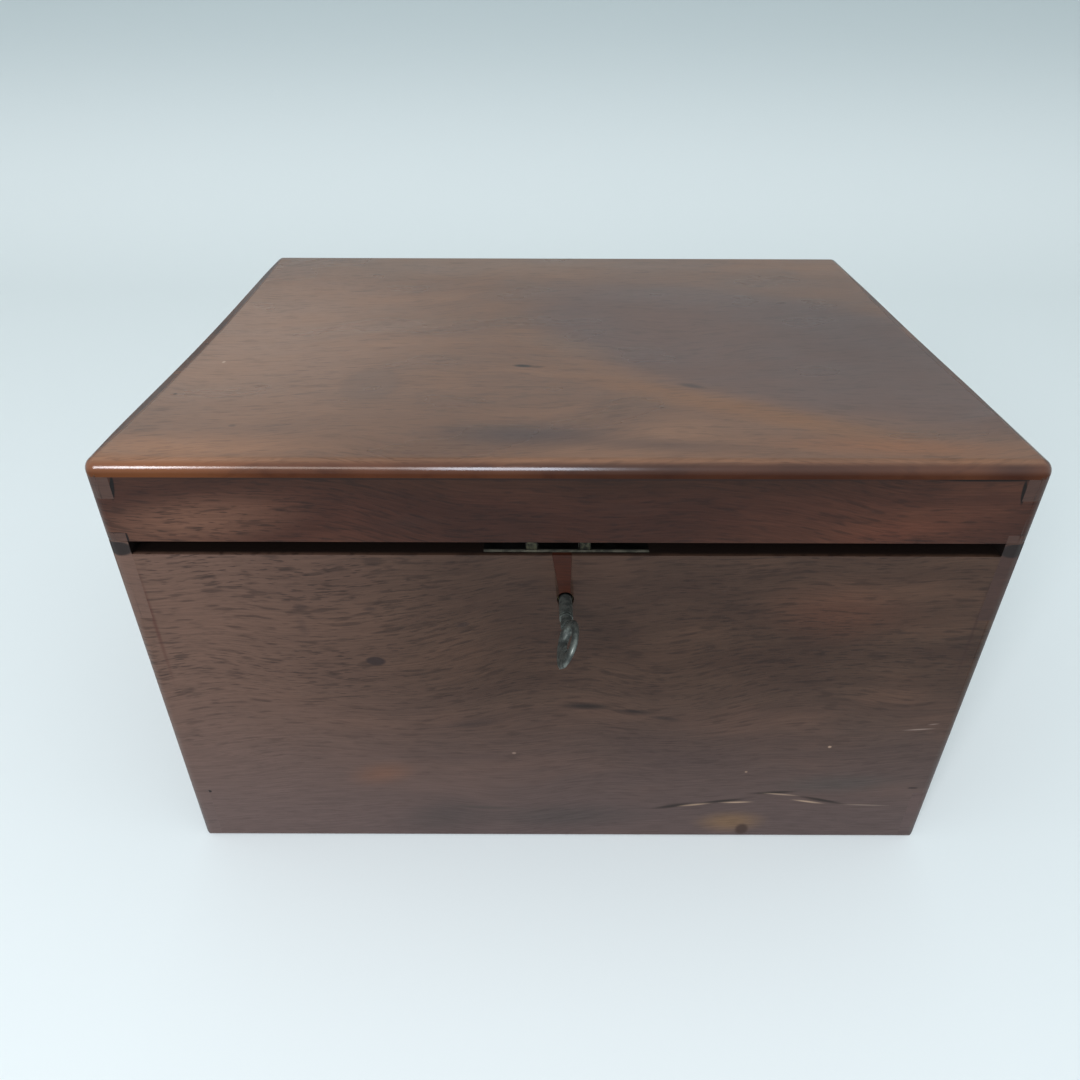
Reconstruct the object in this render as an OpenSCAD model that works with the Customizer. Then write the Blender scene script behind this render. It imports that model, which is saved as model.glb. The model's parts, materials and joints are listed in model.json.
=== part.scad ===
// Lidded mahogany glove box, made as one closed carcass and sawn apart at the rim.
// Origin: middle of the underside. +X to the right, +Y to the back, +Z up.
// The lid is closed. A gap stays open over the front board, whose rim lies lower.

/* [Case] */
// Outside width of the box
body_w = 280; // [240:1:320]
// Outside depth of the box, front to back
body_d = 217.2; // [190:0.5:270]
// Height of the case from the ground to the rim of its sides and back
rim_h = 138.9; // [110:0.1:170]
// How far the front board's rim lies below the other three
front_step = 4.6; // [0:0.1:5]
// Thickness of the front and back boards
wall_t = 9.5; // [9:0.1:12]
// Thickness of the two side boards
side_t = 7.3; // [5.5:0.1:8.5]
// Thickness of the bottom board
bottom_t = 6; // [4:0.1:9]
// Width of the rebate that the bottom board fills under the front and back boards
bottom_bed = 5; // [3.5:0.1:6]
// Width of the same rebate under the thinner side boards
bottom_side_bed = 2.6; // [1:0.1:3]
// Rounding worn on the two lower side edges
foot_r = 3.1; // [1:0.1:3.2]
// Rounding worn on the lower front and back edges
toe_r = 1.5; // [0.5:0.1:2.5]
// Rounding of the upright corners
corner_r = 4; // [1:0.1:4.5]
// Rounding worn on the rim's outer side edges
rim_wear_r = 1.4; // [0.5:0.1:2]

/* [Lid] */
// Height of the lid's four rails, under its top board
rail_h = 22.1; // [18:0.1:30]
// Thickness of the lid's top board
top_t = 5; // [4.8:0.1:8]
// Rounding of the top board's upper edge and of its corners
top_r = 4; // [2:0.1:4.4]
// Depth of the hollow that the top board has cupped into, at its left end
dish_left = 3.2; // [0.6:0.1:3.4]
// Depth of the same hollow at its right end
dish_right = 1.7; // [0.4:0.1:3.4]
// Rounding worn on the lower side edges of the lid
lid_wear_r = 2; // [0.5:0.1:2.8]
// Saw cut between the closed lid and the rim
saw_gap = 0.2; // [0.1:0.05:0.5]
// Angle of the lid from closed when its back edge stops it
lid_open = 95; // [90:1:110]

/* [Dovetails] */
// Height of the lowest tail of each side board
foot_tail_h = 26.1; // [15:0.1:35]
// Reach of the middle tail below the sides' rim
rim_tail_low = 29.5; // [15:0.1:35]
// Reach of the middle tail above the rim, in the lid
rim_tail_high = 2.9; // [2.2:0.1:6]
// Height of the uppermost tail, under the top board
top_tail_h = 7.2; // [4:0.1:9]
// Run of the tails for a rise of one
tail_run = 7; // [6:1:10]

/* [Hinges] */
// Length of each butt hinge
hinge_l = 38; // [30:1:50]
// Distance of each hinge's outer end in from the side of the box
hinge_inset = 37; // [25:1:50]
// Distance of the hinge pins in from the back face
pin_inset = 2.2; // [2:0.1:2.6]
// Thickness of the hinge leaves
leaf_t = 1.4; // [1:0.1:1.6]
// Width of a leaf, from the pin towards the inside
leaf_w = 6.4; // [5.8:0.1:6.8]
// Outer radius of the knuckles
knuckle_r = 2.1; // [1.8:0.05:2.1]
// Radius of the hinge pins
pin_r = 1; // [0.7:0.05:1.1]
// Number of knuckles, an odd number
knuckles = 5; // [3:2:7]
// Number of screws in each leaf
leaf_screws = 3; // [2:1:3]
// Distance of the leaf's outer screws in from its ends
leaf_screw_inset = 6; // [5:0.5:9]

/* [Lock] */
// Width of the lock's plates
lock_w = 51; // [48:0.5:60]
// Height of the lock below the front board's rim
lock_h = 32; // [30:0.5:38]
// Thickness of the lock's and the link's brass plates
plate_t = 1.5; // [1.2:0.1:1.8]
// Wood left in front of the lock
skin_t = 2; // [1.5:0.1:2.2]
// Thickness of the cap over the mechanism
cap_t = 1; // [0.8:0.1:1.2]
// Half width of the mechanism's cap
cap_half_w = 20.2; // [19.8:0.1:21]
// Depth of the key's axis below the front board's rim
key_drop = 16.8; // [16.7:0.1:17]
// Radius of the keyhole in the wood
keyhole_r = 2.7; // [2.5:0.05:3]
// Radius of the pillars that carry the cap
pillar_r = 1.3; // [1:0.1:1.5]
// Distance of the pillars from the middle of the lock
pillar_x = 18.3; // [18:0.1:18.5]
// Radius of the pin that the hollow key fits over
drill_pin_r = 0.95; // [0.7:0.05:1]
// Radius of the two stumps that the bolt slides on
stump_r = 1.2; // [0.9:0.1:1.3]
// Middle radius of the curved ward
ward_r = 3.8; // [3.5:0.1:3.8]
// Thickness of the ward's wall
ward_t = 0.5; // [0.4:0.05:0.6]
// Height of the ward off the plate
ward_h = 1.1; // [0.8:0.1:1.4]
// Thickness of the bolt's spring
spring_t = 0.5; // [0.4:0.05:0.6]

/* [Bolt and links] */
// Place of the left link across the box
left_link_x = -10.7; // [-11.3:0.1:-10.5]
// Place of the right link across the box
right_link_x = 5.8; // [5:0.1:6.2]
// Thickness of a link, across the box
link_t = 3.2; // [2.8:0.1:3.3]
// Depth of a link, front to back
link_d = 4.2; // [3.6:0.1:4.2]
// Reach of a closed link below the front board's rim
link_drop = 8.2; // [7.9:0.1:8.3]
// Height of the solid foot under a link's eye
link_foot = 1.6; // [1.3:0.1:1.7]
// Height of the eye through a link
eye_h = 3; // [2.6:0.1:3.2]
// Depth of the eye, front to back
eye_d = 2.6; // [2.2:0.1:2.8]
// Thickness of the bolt, front to back
bolt_t = 3.2; // [2.6:0.1:3.4]
// Thickness of the bolt's fingers, front to back
finger_d = 2; // [1.6:0.1:2]
// Height of the bolt's two end plates
bolt_end_h = 7; // [6.5:0.1:8]
// Reach of the talon's cheeks below the bolt's top edge
bolt_bar_h = 3.9; // [3.7:0.1:4]

/* [Key] */
// Angle that the key leans from upright, top to the right
key_lean = 24; // [18:1:26]
// Outer radius of the key's barrel
barrel_r = 2.1; // [1.9:0.05:2.15]
// Length of the barrel in front of the box
barrel_out = 9.9; // [8:0.1:13]
// Radius of the neck between the barrel and the bow
neck_r = 1.75; // [1.3:0.05:1.8]
// Distance of the bow's middle in front of the box
bow_out = 21.8; // [20:0.1:26]
// Radius of the bow, to the middle of its wire
bow_r = 5.6; // [5:0.1:7.5]
// Length that the bow is stretched by, along the key
bow_stretch = 2.2; // [0.4:0.1:4]
// Radius of the bow's wire
wire_r = 1.4; // [0.9:0.05:1.5]
// Reach of the bit from the key's axis
bit_r = 5.8; // [5.6:0.1:5.9]
// Thickness of the bit
bit_t = 1.6; // [1.2:0.1:1.7]

/* [Keyhole slip] */
// Reach of the slip to the right of the key's axis
slip_right = 1.6; // [1:0.1:3]
// Reach of the slip to the left at the rim
slip_left_top = 4.4; // [2:0.1:6]
// Reach of the slip to the left at the keyhole
slip_left_low = 1.7; // [1:0.1:3]

/* [Clearances] */
// Free space beside sliding and swinging brass
slide_gap = 0.4; // [0.3:0.05:0.5]
// Running fit of a pin in its hole
run_gap = 0.06; // [0.02:0.01:0.1]
// Space round a screw, brad or rivet in its hole
shank_gap = 0.03; // [0.02:0.01:0.06]
// Free angle between the two back edges at the stop
stop_gap = 1; // [0.5:0.5:3]

/* [Hidden] */

wood = "#5d4941";
red_wood = "#3d2018";
top_wood = "#85695a";
end_grain = "#64544e";
pine = "#8a765e";
brass = "#a08a58";
steel = "#565a5c";

$fn = 64;
eps = 0.01;
past = 1;

// Carcass
half_w = body_w / 2;
half_d = body_d / 2;
front_y = -half_d;
front_in = front_y + wall_t;
lid_z = rim_h + saw_gap;
front_rim = rim_h - front_step;
carcass_h = lid_z + rail_h;
closed_h = carcass_h + top_t;
tail_flare = wall_t / tail_run;

// The top board's hollow: a long shallow trough that rises to the right
dish_tilt = atan((dish_left - dish_right) / body_w);
dish_steps = 24;

// Hinge line: half way up the saw cut
hinge_x = half_w - hinge_inset - hinge_l / 2;
pin_y = half_d - pin_inset;
pin_z = rim_h + saw_gap / 2;
back_bevel = (lid_open + stop_gap) / 2;
knuckle_l = hinge_l / knuckles;
leaf_low = pin_z - rim_h;
leaf_end_y = pin_y - leaf_w;
leaf_screw_y = pin_y - (leaf_w + knuckle_r) / 2;

// Wood screws: hinge, lock and link plate share one size
screw_r = 0.9;
screw_head_r = 1.8;
screw_head_h = 0.9;
screw_l = 7;
screw_slot_w = 0.5;
screw_slot_h = 0.4;

// Brads under the bottom board
brad_r = 0.6;
brad_head_r = 1.2;
brad_head_h = 0.5;
brad_l = 18;
brads_per_side = 4;
brad_pitch = body_w / brads_per_side;
brad_y = half_d - wall_t + bottom_bed / 2;

// Lock, from front to back
mortise_y = front_y + skin_t;
cap_gap = 0.2;
cap_y = mortise_y + cap_gap;
works_y = cap_y + cap_t;
plate_y = front_in - plate_t;
key_z = front_rim - key_drop;
cap_low = front_rim - lock_h + 4;
cap_high = front_rim - plate_t - cap_gap;
works_gap = 0.3;
pillar_low = cap_low + pillar_r + 0.7;
pillar_high = cap_high - pillar_r - 1.2;

// Links and bolt
link_y = (works_y + plate_y) / 2;
link_low = front_rim - link_drop;
finger_low = link_low + link_foot + slide_gap;
finger_high = link_low + link_foot + eye_h - slide_gap;
bolt_high = link_low - slide_gap;
bolt_low = bolt_high - bolt_end_h;
bar_low = bolt_high - bolt_bar_h;
bolt_back = plate_y - cap_gap;
bolt_front = bolt_back - bolt_t;
talon_reach = bit_r - 0.6;
bolt_throw = 2 * talon_reach * sin(key_lean);
talon_x = bolt_throw / 2;
talon_w = bit_t + 1;
talon_roof = key_z + bit_r + 0.3;
finger_lead = (bolt_throw - link_t) / 2;
post_w = 3;
left_end = [-15.5, -6.5];
right_end = [10.7, 19.8];
stump_z = (bolt_low + bolt_high) / 2 - 0.4;
left_stump_x = left_end[0] + stump_r + 1.3;
right_stump_x = right_end[0] + stump_r + 1.1;
spring_touch_x = right_end[0] + bolt_throw / 2 - 1;

// Key
barrel_bore_r = drill_pin_r + run_gap;
bit_front = works_y + works_gap;
bit_back = plate_y - works_gap;
slot_w = bit_t + 1;
slot_drop = bit_r + 0.8;
groove_w = 0.6;
groove_d = 0.3;

// ---------- shared shapes ----------

// A rectangle with round corners, made of exact arcs
module soft_rect(w, h, r) {
    square([w - 2 * r, h], center = true);
    square([w, h - 2 * r], center = true);
    for (sx = [-1, 1], sy = [-1, 1])
        translate([sx * (w / 2 - r), sy * (h / 2 - r)]) circle(r);
}

// A box given by its two corners
module span(low, high) {
    translate(low) cube(high - low);
}

// A cylinder along Y between two depths
module rod_y(x, z, r, y0, y1) {
    translate([x, y1, z]) rotate([90, 0, 0]) cylinder(r = r, h = y1 - y0);
}

// A profile drawn in X and Z, spread along Y between two depths
module along_y(y0, y1) {
    translate([0, y1, 0]) rotate([90, 0, 0]) linear_extrude(y1 - y0) children();
}

// A profile drawn in Y and Z, spread along X between two places
module along_x(x0, x1) {
    translate([x0, 0, 0]) rotate([90, 0, 90]) linear_extrude(x1 - x0) children();
}

// The outer form that wear has given the case: soft corners, feet, toes and rim
module case_form() {
    intersection() {
        linear_extrude(rim_h) soft_rect(body_w, body_d, corner_r);
        along_y(-half_d, half_d) translate([0, rim_h]) soft_rect(body_w, 2 * rim_h, foot_r);
        along_x(-half_w, half_w) translate([0, rim_h]) soft_rect(body_d, 2 * rim_h, toe_r);
        along_y(-half_d, half_d) soft_rect(body_w, 2 * rim_h, rim_wear_r);
    }
}

// The outer form of the lid's rails
module rail_form() {
    intersection() {
        translate([0, 0, lid_z]) linear_extrude(rail_h) soft_rect(body_w, body_d, corner_r);
        along_y(-half_d, half_d) translate([0, lid_z + rail_h])
            soft_rect(body_w, 2 * rail_h, lid_wear_r);
    }
}

// One tail of a side board at the front end; it narrows to its root behind the front board
module tail(z0, z1, low_flare, high_flare) {
    polygon([[front_y, z0], [front_in, z0 + low_flare],
             [front_in, z1 - high_flare], [front_y, z1]]);
}

// The whole side of the carcass with its tails, before the lid is sawn off
module side_profile() {
    translate([front_in, 0]) square([body_d - 2 * wall_t, carcass_h]);
    for (turned = [0, 1]) mirror([turned, 0]) {
        tail(0, foot_tail_h, 0, tail_flare);
        tail(rim_h - rim_tail_low, lid_z + rim_tail_high, tail_flare, tail_flare);
        tail(carcass_h - top_tail_h, carcass_h, tail_flare, 0);
    }
}

// Both side boards' tails, reaching past the outside, as the cutter of their sockets
module tail_cutters() {
    for (turned = [0, 1]) mirror([turned, 0, 0])
        along_x(half_w - side_t, half_w + past) side_profile();
}

// The whole side board on the right, or mirrored on the left
module side_blank(is_left) {
    mirror([is_left ? 1 : 0, 0, 0]) along_x(half_w - side_t, half_w) side_profile();
}

// The whole front board, or mirrored at the back, with sockets for the tails
module end_blank(is_back) {
    difference() {
        mirror([0, is_back ? 1 : 0, 0])
            span([-half_w, front_y, 0], [half_w, front_in, carcass_h]);
        tail_cutters();
    }
}

// The bottom board's space
module bottom_space(extra) {
    bed_x = half_w - side_t + bottom_side_bed;
    bed_y = half_d - wall_t + bottom_bed;
    span([-bed_x, -bed_y, -extra], [bed_x, bed_y, bottom_t]);
}

// A slotted wood screw, head up at the origin
module wood_screw() {
    difference() {
        union() {
            translate([0, 0, -screw_head_h])
                cylinder(r1 = screw_r, r2 = screw_head_r, h = screw_head_h);
            translate([0, 0, -screw_l]) cylinder(r = screw_r, h = screw_l - screw_head_h + eps);
        }
        span([-screw_head_r - past, -screw_slot_w / 2, -screw_slot_h],
             [screw_head_r + past, screw_slot_w / 2, past]);
    }
}

// The hole that such a screw fills
module screw_hole() {
    translate([0, 0, -screw_head_h - shank_gap])
        cylinder(r1 = screw_r + shank_gap, r2 = screw_head_r + 2 * shank_gap,
                 h = screw_head_h + shank_gap + eps);
    translate([0, 0, -screw_l - shank_gap]) cylinder(r = screw_r + shank_gap, h = screw_l);
}

// ---------- hinges ----------

function leaf_screw_x(i) =
    -hinge_l / 2 + leaf_screw_inset
    + i * (hinge_l - 2 * leaf_screw_inset) / (leaf_screws - 1);

// The places of one leaf's screws: heads up on the case, heads down in the lid
module leaf_screw_places(side, in_lid) {
    for (i = [0 : leaf_screws - 1])
        translate([side * hinge_x + leaf_screw_x(i), leaf_screw_y, in_lid ? lid_z : rim_h])
            rotate([in_lid ? 180 : 0, 0, 0]) children();
}

// One leaf of the left or right hinge, its flap let in flush with the wood
module leaf(side, in_lid) {
    flap_z = in_lid ? lid_z : rim_h - leaf_t;
    difference() {
        union() {
            span([side * hinge_x - hinge_l / 2, leaf_end_y, flap_z],
                 [side * hinge_x + hinge_l / 2, pin_y, flap_z + leaf_t]);
            translate([side * hinge_x - hinge_l / 2, pin_y, pin_z]) rotate([0, 90, 0])
                cylinder(r = knuckle_r, h = hinge_l);
        }
        for (i = [0 : knuckles - 1])
            if ((i % 2 == 0) == in_lid) {
                cut_x = side * hinge_x - hinge_l / 2 + i * knuckle_l;
                low_x = i == 0 ? cut_x - past : cut_x - run_gap;
                high_x = i == knuckles - 1 ? cut_x + knuckle_l + past : cut_x + knuckle_l + run_gap;
                reach = knuckle_r + 3 * run_gap;
                span([low_x, pin_y - reach, pin_z - reach], [high_x, pin_y + reach, pin_z + reach]);
            }
        translate([side * hinge_x - hinge_l / 2 - past, pin_y, pin_z]) rotate([0, 90, 0])
            cylinder(r = pin_r + run_gap, h = hinge_l + 2 * past);
        leaf_screw_places(side, in_lid) screw_hole();
    }
}

module hinge_pin(side) {
    translate([side * hinge_x - hinge_l / 2, pin_y, pin_z]) rotate([0, 90, 0])
        cylinder(r = pin_r, h = hinge_l);
}

// What is cut out of a back board for a hinge: the flap's bed and the knuckles' trough
module hinge_cutters(in_lid) {
    trough_r = knuckle_r + 2 * run_gap;
    bed_z = in_lid ? lid_z : rim_h - leaf_t;
    for (side = [-1, 1]) {
        span([side * hinge_x - hinge_l / 2, leaf_end_y, in_lid ? lid_z - past : bed_z],
             [side * hinge_x + hinge_l / 2, pin_y, in_lid ? bed_z + leaf_t : rim_h + past]);
        translate([side * hinge_x - hinge_l / 2, pin_y, pin_z]) rotate([0, 90, 0])
            cylinder(r = trough_r, h = hinge_l);
        span([side * hinge_x - hinge_l / 2, pin_y, pin_z - trough_r],
             [side * hinge_x + hinge_l / 2, half_d + past, pin_z + trough_r]);
        leaf_screw_places(side, in_lid) screw_hole();
    }
}

// The wedge planed off a back edge so that the lid can swing past upright and then stops
module back_bevel_cutter(in_lid) {
    drop = (pin_inset + past) * tan(back_bevel);
    edge_z = in_lid ? lid_z : rim_h;
    way = in_lid ? 1 : -1;
    along_x(-half_w - past, half_w + past)
        polygon([[pin_y, edge_z], [half_d + past, edge_z + way * drop],
                 [half_d + past, edge_z - way * past], [pin_y, edge_z - way * past]]);
}

// ---------- lock ----------

module pillar_places() {
    for (x = [-pillar_x, pillar_x], z = [pillar_low, pillar_high]) translate([x, 0, z]) children();
}

module stump_places() {
    for (x = [left_stump_x, right_stump_x]) translate([x, 0, stump_z]) children();
}

module lock_screw_places() {
    inset = (lock_w / 2 - cap_half_w) / 2;
    for (x = [-1, 1], z = [front_rim - lock_h + inset, front_rim - lock_h / 4])
        translate([x * (lock_w / 2 - inset), front_in, z]) rotate([-90, 0, 0]) children();
}

// The key's way in: a round hole with a slot under it for the bit
module keyhole(r, y0, y1) {
    rod_y(0, key_z, r, y0, y1);
    span([-slot_w / 2, y0, key_z - slot_drop], [slot_w / 2, y1, key_z]);
}

// The places of the two links
module link_places() {
    for (x = [left_link_x, right_link_x]) translate([x, link_y, 0]) children();
}

// The mortise behind the front skin, with beds for the plate and its selvedge
module lock_mortise() {
    works_half = cap_half_w + cap_gap;
    span([-works_half, mortise_y, cap_low - cap_gap], [works_half, front_in + past, front_rim + past]);
    span([-lock_w / 2, plate_y, front_rim - lock_h], [lock_w / 2, front_in + past, front_rim + past]);
    span([-lock_w / 2, mortise_y, front_rim - plate_t], [lock_w / 2, front_in + past, front_rim + past]);
    lock_screw_places() screw_hole();
    keyhole(keyhole_r, front_y - past, mortise_y + past);
}

// One link under the lid: a brass eye that the bolt's finger enters from the right
module link_hook() {
    difference() {
        span([-link_t / 2, -link_d / 2, link_low], [link_t / 2, link_d / 2, lid_z + plate_t]);
        span([-link_t / 2 - past, -eye_d / 2, link_low + link_foot],
             [link_t / 2 + past, eye_d / 2, link_low + link_foot + eye_h]);
    }
}

// A link's hole in a plate
module link_slot(gap, z0, z1) {
    span([-link_t / 2 - gap, -link_d / 2 - gap, z0], [link_t / 2 + gap, link_d / 2 + gap, z1]);
}

// A post and finger of the bolt, just clear of the link's right side when withdrawn
module bolt_finger(x) {
    tip_x = x + link_t / 2 + finger_lead;
    post_x = tip_x + bolt_throw;
    span([post_x, bolt_front, bolt_high - eps], [post_x + post_w, bolt_back, finger_high]);
    span([tip_x, link_y - finger_d / 2, finger_low],
         [post_x + eps, link_y + finger_d / 2, finger_high]);
}

// A long hole in the bolt for a stump
module stump_slot(x) {
    slot_r = stump_r + run_gap;
    rod_y(x, stump_z, slot_r, bolt_front - past, bolt_back + past);
    rod_y(x + bolt_throw + run_gap, stump_z, slot_r, bolt_front - past, bolt_back + past);
    span([x, bolt_front - past, stump_z - slot_r],
         [x + bolt_throw + run_gap, bolt_back + past, stump_z + slot_r]);
}

// ---------- case pieces ----------

module front_panel() {
    color(wood) difference() {
        intersection() {
            end_blank(false);
            case_form();
        }
        bottom_space(past);
        brad_places() brad(shank_gap);
        lock_mortise();
        slip_space(past);
        span([-half_w - past, front_y - past, front_rim], [half_w + past, front_in + past, rim_h + past]);
    }
}

module back_panel() {
    color(wood) difference() {
        intersection() {
            end_blank(true);
            case_form();
        }
        bottom_space(past);
        brad_places() brad(shank_gap);
        hinge_cutters(false);
        back_bevel_cutter(false);
    }
}

module case_side(is_left) {
    color(end_grain) difference() {
        intersection() {
            side_blank(is_left);
            case_form();
        }
        bottom_space(past);
        back_bevel_cutter(false);
    }
}

module left_side() {
    case_side(true);
}

module right_side() {
    case_side(false);
}

module bottom_board() {
    color(pine) difference() {
        bottom_space(0);
        brad_places() brad(shank_gap);
    }
}

module brad_places() {
    for (i = [0 : brads_per_side - 1], side = [-1, 1])
        translate([(i + 0.5) * brad_pitch - half_w, side * brad_y, 0]) children();
}

// One brad, head down at the ground, or its hole when given a gap
module brad(gap) {
    translate([0, 0, -gap]) cylinder(r = brad_r + gap, h = brad_l + 2 * gap);
    translate([0, 0, -gap]) cylinder(r = brad_head_r + gap, h = brad_head_h + 2 * gap);
}

module bottom_brads() {
    color(steel) brad_places() brad(0);
}

// The tapered slip of redder wood let in between the keyhole and the rim
module slip_space(extra) {
    taper = (slip_left_top - slip_left_low) / key_drop;
    along_y(front_y - extra, mortise_y)
        polygon([[-slip_left_low, key_z], [slip_right, key_z],
                 [slip_right, front_rim + extra], [-slip_left_top - taper * extra, front_rim + extra]]);
}

module keyhole_slip() {
    color(red_wood) difference() {
        slip_space(0);
        keyhole(keyhole_r, front_y - past, mortise_y + past);
    }
}

// ---------- lid pieces ----------

// The top board before it cupped: flat, with a rounded upper edge
module flat_top() {
    inner_x = half_w - top_r;
    inner_y = half_d - top_r;
    round_z = closed_h - top_r;
    translate([0, 0, carcass_h]) linear_extrude(top_t - top_r) soft_rect(body_w, body_d, top_r);
    intersection() {
        union() {
            span([-inner_x, -inner_y, carcass_h], [inner_x, inner_y, closed_h]);
            for (sy = [-1, 1]) translate([-inner_x, sy * inner_y, round_z])
                rotate([0, 90, 0]) cylinder(r = top_r, h = 2 * inner_x);
            for (sx = [-1, 1]) translate([sx * inner_x, inner_y, round_z])
                rotate([90, 0, 0]) cylinder(r = top_r, h = 2 * inner_y);
            for (sx = [-1, 1], sy = [-1, 1])
                translate([sx * inner_x, sy * inner_y, round_z]) sphere(top_r);
        }
        span([-half_w, -half_d, round_z - eps], [half_w, half_d, closed_h]);
    }
}

// Depth of the hollow across the board, from front to back
function dish_depth(y) = dish_left * (1 - pow(y / half_d, 2));

// What the board has lost as it cupped, deeper on the left than on the right
module dish_cutter() {
    reach = half_d + past;
    hollow = [for (i = [0 : dish_steps])
                 let (y = reach * (2 * i / dish_steps - 1)) [y, -dish_depth(y)]];
    translate([0, 0, closed_h + (dish_left - dish_right) / 2]) rotate([0, -dish_tilt, 0])
        along_x(-half_w - past, half_w + past)
            polygon(concat(hollow, [[reach, top_r], [-reach, top_r]]));
}

module lid_top() {
    color(top_wood) difference() {
        flat_top();
        dish_cutter();
    }
}

// A rail of the lid: the part of a whole board above the saw cut
module lid_part() {
    intersection() {
        children();
        rail_form();
    }
}

module lid_front_rail() {
    color(wood) difference() {
        lid_part() end_blank(false);
        span([-lock_w / 2, mortise_y, lid_z - past], [lock_w / 2, front_in, lid_z + plate_t]);
        link_screw_places() screw_hole();
    }
}

module lid_back_rail() {
    color(wood) difference() {
        lid_part() end_blank(true);
        hinge_cutters(true);
        back_bevel_cutter(true);
    }
}

module lid_side_rail(is_left) {
    color(end_grain) difference() {
        lid_part() side_blank(is_left);
        back_bevel_cutter(true);
    }
}

module lid_left_rail() {
    lid_side_rail(true);
}

module lid_right_rail() {
    lid_side_rail(false);
}

// ---------- hinge pieces ----------

module hinge_left_case_leaf() {
    color(brass) leaf(-1, false);
}

module hinge_right_case_leaf() {
    color(brass) leaf(1, false);
}

module hinge_left_lid_leaf() {
    color(brass) leaf(-1, true);
}

module hinge_right_lid_leaf() {
    color(brass) leaf(1, true);
}

module hinge_left_pin() {
    color(steel) hinge_pin(-1);
}

module hinge_right_pin() {
    color(steel) hinge_pin(1);
}

module hinge_case_screws() {
    color(brass) for (side = [-1, 1]) leaf_screw_places(side, false) wood_screw();
}

module hinge_lid_screws() {
    color(brass) for (side = [-1, 1]) leaf_screw_places(side, true) wood_screw();
}

// ---------- lock pieces ----------

module lock_plate() {
    color(brass) difference() {
        union() {
            span([-lock_w / 2, plate_y, front_rim - lock_h], [lock_w / 2, front_in, front_rim]);
            span([-lock_w / 2, mortise_y, front_rim - plate_t], [lock_w / 2, front_in, front_rim]);
        }
        link_places() link_slot(slide_gap, front_rim - plate_t - past, front_rim + past);
        pillar_places() rod_y(0, 0, pillar_r + shank_gap, plate_y - past, front_in + past);
        stump_places() rod_y(0, 0, stump_r + shank_gap, plate_y - past, front_in + past);
        rod_y(0, key_z, drill_pin_r + shank_gap, plate_y - past, front_in + past);
        lock_screw_places() screw_hole();
    }
}

module lock_cap() {
    color(brass) difference() {
        span([-cap_half_w, cap_y, cap_low], [cap_half_w, works_y, cap_high]);
        pillar_places() rod_y(0, 0, pillar_r + shank_gap, cap_y - past, works_y + past);
        keyhole(barrel_r + slide_gap, cap_y - past, works_y + past);
    }
}

module lock_pillars() {
    color(brass) pillar_places() rod_y(0, 0, pillar_r, cap_y, front_in);
}

module lock_drill_pin() {
    color(steel) rod_y(0, key_z, drill_pin_r, front_y - skin_t / 2, front_in);
}

module lock_stumps() {
    color(brass) stump_places() rod_y(0, 0, stump_r, bolt_front - works_gap, front_in);
}

// The ward: a curved wall round the drill pin, open below where the bit comes in
module lock_ward() {
    color(brass) difference() {
        rod_y(0, key_z, ward_r + ward_t / 2, plate_y - ward_h, plate_y);
        rod_y(0, key_z, ward_r - ward_t / 2, plate_y - ward_h - past, plate_y + past);
        span([-slot_w / 2 - slide_gap, plate_y - ward_h - past, key_z - ward_r - past],
             [slot_w / 2 + slide_gap, plate_y + past, key_z]);
    }
}

// The spring: a loop round the lower right pillar and a blade bowed up under the bolt
module lock_spring() {
    loop_r = pillar_r + shank_gap + spring_t;
    blade_z = bolt_low - run_gap;
    run = pillar_x - spring_touch_x;
    rise = blade_z - pillar_low - loop_r;
    blade_r = (run * run + rise * rise) / (2 * rise);
    color(steel) along_y(bolt_front, bolt_back) {
        difference() {
            union() {
                translate([pillar_x, pillar_low]) circle(loop_r);
                intersection() {
                    difference() {
                        translate([spring_touch_x, blade_z - blade_r]) circle(blade_r);
                        translate([spring_touch_x, blade_z - blade_r]) circle(blade_r - spring_t);
                    }
                    translate([spring_touch_x - 1.5, pillar_low]) square([2 * run, 2 * rise]);
                }
            }
            translate([pillar_x, pillar_low]) circle(pillar_r + shank_gap);
        }
    }
}

// The bolt: two slotted ends, a bar with the talon that the bit drives, and two fingers
module lock_bolt() {
    color(brass) difference() {
        union() {
            for (end = [left_end, right_end])
                span([end[0], bolt_front, bolt_low], [end[1], bolt_back, bolt_high]);
            span([left_end[0], bolt_front, bar_low], [right_end[1], bolt_back, bolt_high]);
            bolt_finger(left_link_x);
            bolt_finger(right_link_x);
        }
        stump_slot(left_stump_x);
        stump_slot(right_stump_x);
        span([talon_x - talon_w / 2, bolt_front - past, bar_low - past],
             [talon_x + talon_w / 2, bolt_back + past, talon_roof]);
    }
}

module lock_screws() {
    color(brass) lock_screw_places() wood_screw();
}

module link_screw_places() {
    inset = (lock_w / 2 - cap_half_w) / 2 + 1;
    for (x = [-1, 1])
        translate([x * (lock_w / 2 - inset), (mortise_y + front_in) / 2, lid_z])
            rotate([180, 0, 0]) children();
}

module link_plate() {
    color(brass) difference() {
        span([-lock_w / 2, mortise_y, lid_z], [lock_w / 2, front_in, lid_z + plate_t]);
        link_places() link_slot(shank_gap, lid_z - past, lid_z + plate_t + past);
        link_screw_places() screw_hole();
    }
}

module link_hooks() {
    color(brass) link_places() link_hook();
}

module link_screws() {
    color(brass) link_screw_places() wood_screw();
}

// ---------- key ----------

// The bow: two half rings and two short straights, standing in the plane of the bit
module bow() {
    for (way = [-1, 1]) {
        translate([0, way * bow_stretch / 2, 0]) rotate([90, 0, 90]) rotate([0, 0, way > 0 ? -90 : 90])
            rotate_extrude(angle = 180) translate([bow_r, 0]) circle(wire_r);
        translate([0, bow_stretch / 2, way * bow_r]) rotate([90, 0, 0])
            cylinder(r = wire_r, h = bow_stretch);
    }
}

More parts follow.
